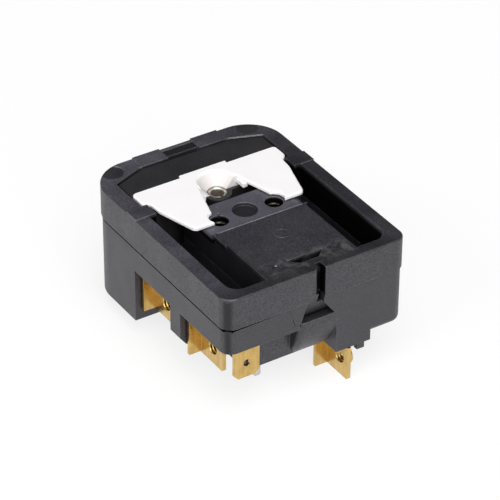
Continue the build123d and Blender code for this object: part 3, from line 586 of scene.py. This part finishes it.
# Raised ring in the middle of the platform
def raiseRing():
    size = ringSize
    ring = startDisc(size)
    bpy.ops.mesh.inset(thickness=size["width"])
    bpy.ops.mesh.delete(type="FACE")
    bpy.ops.mesh.select_all(action="SELECT")
    bpy.ops.mesh.extrude_region_move(TRANSFORM_OT_translate={"value": (0, 0, size["height"] + size["sunk"])})
    bpy.ops.mesh.bevel(offset=size["edge"], segments=2, affect="EDGES")
    closeEdit(size["smooth"])
    settle(ring, "platform_ring", "cover")


stubSize = {"centre": (-6.95 * mm, -23.25 * mm), "radius": 0.34 * mm, "lean": (0.03 * mm, 0.02 * mm),
            "steps": ((0.07 * mm, 0.8), (0.09 * mm, 0.45)), "oval": 0.8, "torn": 0.035 * mm, "evenly": 0.6,
            "seed": 4, "sunk": 0.02 * mm, "sides": 14, "smooth": 50}


# Torn stub that the gate left on the platform
def leaveStub():
    size = stubSize
    stub = startDisc(size)
    for rise, shrink in size["steps"]:
        bpy.ops.mesh.extrude_region_move(TRANSFORM_OT_translate={"value": (*size["lean"], rise)})
        bpy.ops.transform.resize(value=(shrink, shrink * size["oval"], 1))
    bpy.ops.mesh.select_all(action="SELECT")
    bpy.ops.transform.vertex_random(offset=size["torn"], uniform=size["evenly"], seed=size["seed"])
    closeEdit(size["smooth"])
    settle(stub, "gate_stub", "stub")


raiseRing()
leaveStub()

print("setting up the floor, light and camera")
stageSize = {"floor": 6.0, "floorColour": (0.86, 0.86, 0.86, 1), "backdrop": 0.78}


# Pale paper that takes the light as paper does, and looks nearly white to the camera and in reflections
def layFloor():
    clearSelection()
    bpy.ops.mesh.primitive_plane_add(size=stageSize["floor"], location=(0, 0, 0))
    floor = bpy.context.object
    floor.name = "floor"
    made = bpy.data.materials.new("palePaper")
    made.use_nodes = True
    tree = made.node_tree
    tree.nodes.clear()
    rays = tree.nodes.new("ShaderNodeLightPath").outputs
    mirrored = mathNode(tree, "MAXIMUM", rays["Is Glossy Ray"], rays["Is Transmission Ray"])
    seen = mathNode(tree, "MAXIMUM", rays["Is Camera Ray"], mirrored)
    share = mathNode(tree, "MULTIPLY", seen, stageSize["backdrop"])
    paper = addNode(tree, "ShaderNodeBsdfDiffuse", {"Color": stageSize["floorColour"]})
    white = addNode(tree, "ShaderNodeEmission", {"Color": (1, 1, 1, 1), "Strength": 1.0})
    both = addNode(tree, "ShaderNodeMixShader", {0: share, 1: paper.outputs[0], 2: white.outputs[0]})
    addNode(tree, "ShaderNodeOutputMaterial", {"Surface": both.outputs[0]})
    floor.data.materials.append(made)


layFloor()

lampAim = Vector((0, 0, 15 * mm))
lampSize = {
    "key": {"at": (-0.35, -1.1, 0.75), "size": 0.9, "power": 10.6},
    "side": {"at": (-1.15, -0.1, 0.6), "size": 0.9, "power": 8.0},
    "top": {"at": (-0.15, -0.45, 1.15), "size": 0.9, "power": 10.4},
}


def hangLamp(name, at, size, power):
    clearSelection()
    bpy.ops.object.light_add(type="AREA", location=at)
    lamp = bpy.context.object
    lamp.name = name
    lamp.data.shape = "SQUARE"
    lamp.data.size = size
    lamp.data.energy = power
    lamp.rotation_euler = (lampAim - Vector(at)).to_track_quat("-Z", "Y").to_euler()


for name, lamp in lampSize.items():
    hangLamp(name, **lamp)

skySize = {"front": 0.6, "back": 0.13, "frontY": (0.35, -0.35), "zenith": 0.5, "fallZ": (0.1, 0.95),
           "band": 0.95, "bandZ": (0.02, 0.1)}


# A soft room, lighter in front, darker overhead, with a bright band along the horizon
def lightSky():
    size = skySize
    sky = bpy.data.worlds.new("softRoom")
    bpy.context.scene.world = sky
    sky.use_nodes = True
    tree = sky.node_tree
    tree.nodes.clear()
    place = tree.nodes.new("ShaderNodeTexCoord").outputs["Generated"]
    way = addNode(tree, "ShaderNodeSeparateXYZ", {0: place}).outputs
    front = remap(tree, way["Y"], *size["frontY"], size["back"], size["front"])
    falling = remap(tree, way["Z"], *size["fallZ"], 1.0, size["zenith"])
    band = remap(tree, way["Z"], *size["bandZ"], size["band"], 0.0)
    strength = mathNode(tree, "MAXIMUM", mathNode(tree, "MULTIPLY", front, falling), band)
    glow = addNode(tree, "ShaderNodeBackground", {"Color": (1, 1, 1, 1), "Strength": strength})
    addNode(tree, "ShaderNodeOutputWorld", {"Surface": glow.outputs[0]})


lightSky()

# Solved from the corners of the rim, in metres and degrees
cameraSize = {"at": (-0.266156, -0.415569, 0.357597), "turn": (55.665, -0.2422, -32.6286), "lens": 196.11,
              "sensor": 36.0}


def placeCamera():
    clearSelection()
    bpy.ops.object.camera_add(location=cameraSize["at"])
    camera = bpy.context.object
    camera.rotation_euler = [math.radians(angle) for angle in cameraSize["turn"]]
    camera.data.lens = cameraSize["lens"]
    camera.data.sensor_width = cameraSize["sensor"]
    bpy.context.scene.camera = camera


placeCamera()
bpy.context.scene.view_settings.view_transform = "Standard"

print("finished", len(parts), "parts")
